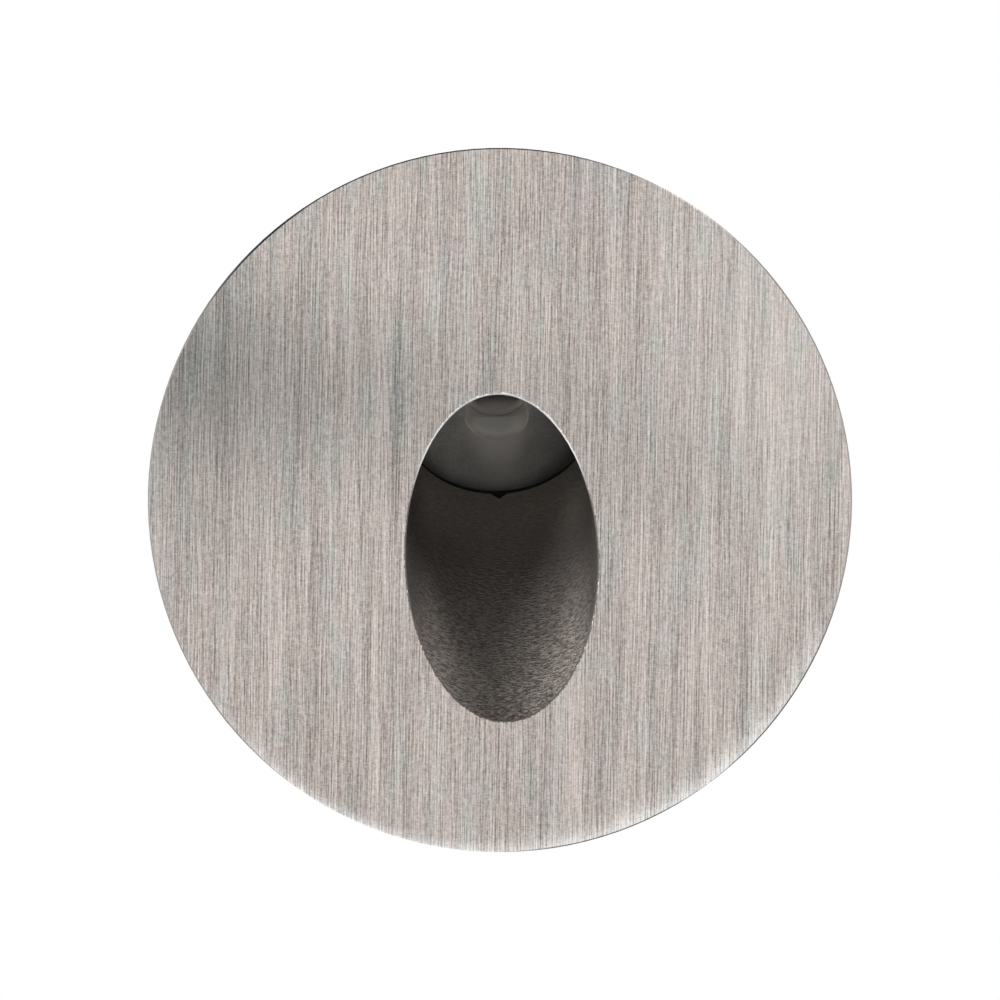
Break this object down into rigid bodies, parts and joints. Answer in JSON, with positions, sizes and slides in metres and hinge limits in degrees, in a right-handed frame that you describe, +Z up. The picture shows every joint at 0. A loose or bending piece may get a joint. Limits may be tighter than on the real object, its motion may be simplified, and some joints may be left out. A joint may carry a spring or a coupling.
{
  "type": "recessed step light",
  "caption": "Round recessed step light: brushed face plate with a slanted elliptical light opening, a leaning lens inside, sprung wall clips and a rear cable gland.",
  "frame": {"origin": "middle of the wall cut-out, on the wall's surface, where the gasket's rear face seats", "axes": "+Y into the wall along the housing's axis, +Z up, +X to the right seen from in front"},
  "size_m": [0.07, 0.0706, 0.07],
  "materials": {
    "brushed_plate": "vertical brushed stainless steel",
    "fastener_steel": "zinc plated or stainless",
    "gasket_rubber": "matt foam rubber",
    "housing_cast": "cast, dark grey, fine texture",
    "chute_coated": "cast, warm dark grey coat with a fine leathery texture",
    "lens_frosted": "frosted moulded optic",
    "holder_black": "moulded",
    "led_phosphor": "silicone over phosphor",
    "board_white": "white solder mask on a metal core",
    "pad_grey": "soft gap pad",
    "carrier_aluminium": "milled",
    "lead_red": "insulated wire",
    "lead_black": "insulated wire",
    "board_green": "green solder mask",
    "ferrite": "ferrite drum core",
    "capacitor_can": "sleeved can",
    "chip_black": "moulded packages",
    "terminal_green": "moulded",
    "cover_cast": "cast, dark grey",
    "gland_nylon": "moulded nylon",
    "gland_rubber": "moulded seal",
    "clip_steel": "rolled spring strip",
    "spring_steel": "music wire"
  },
  "bodies": {
    "light": {"face_plate": "brushed_plate", "face_studs": "fastener_steel", "stud_washers": "fastener_steel", "stud_nuts": "fastener_steel", "wall_gasket": "gasket_rubber", "housing": "housing_cast", "light_chute": "chute_coated", "lens_seal": "gasket_rubber", "lens": "lens_frosted", "lens_holder": "holder_black", "led_emitter": "led_phosphor", "led_board": "board_white", "board_screws": "fastener_steel", "thermal_pad": "pad_grey", "led_carrier": "carrier_aluminium", "carrier_screws": "fastener_steel", "led_lead_red": "lead_red", "led_lead_black": "lead_black", "driver_board": "board_green", "driver_screws": "fastener_steel", "driver_inductor": "ferrite", "driver_capacitor": "capacitor_can", "driver_chips": "chip_black", "terminal_block": "terminal_green", "terminal_screws": "fastener_steel", "rear_seal": "gasket_rubber", "rear_cover": "cover_cast", "cover_screws": "fastener_steel", "gland_washer": "gland_rubber", "gland_body": "gland_nylon", "gland_locknut": "gland_nylon", "gland_seal": "gland_rubber", "gland_nut": "gland_nylon", "clip_pin_right": "fastener_steel", "clip_pin_left": "fastener_steel", "clip_spring_right": "spring_steel", "clip_spring_left": "spring_steel"},
    "clip_right": {"clip_arm_right": "clip_steel"},
    "clip_left": {"clip_arm_left": "clip_steel"}
  },
  "joints": [
    {"name": "clip_right_pivot", "type": "hinge", "parent": "light", "child": "clip_right", "pos_m": [0.0248, 0.034, 0], "axis": [0, 0, -1], "range_deg": [0, 22], "stiffness_Nm_per_rad": 0.06, "springref_deg": -40.11, "deforming": ["clip_spring_right"]},
    {"name": "clip_left_pivot", "type": "hinge", "parent": "light", "child": "clip_left", "pos_m": [-0.0248, 0.034, 0], "axis": [0, 0, 1], "range_deg": [0, 22], "stiffness_Nm_per_rad": 0.06, "springref_deg": -40.11, "deforming": ["clip_spring_left"]}
  ]
}
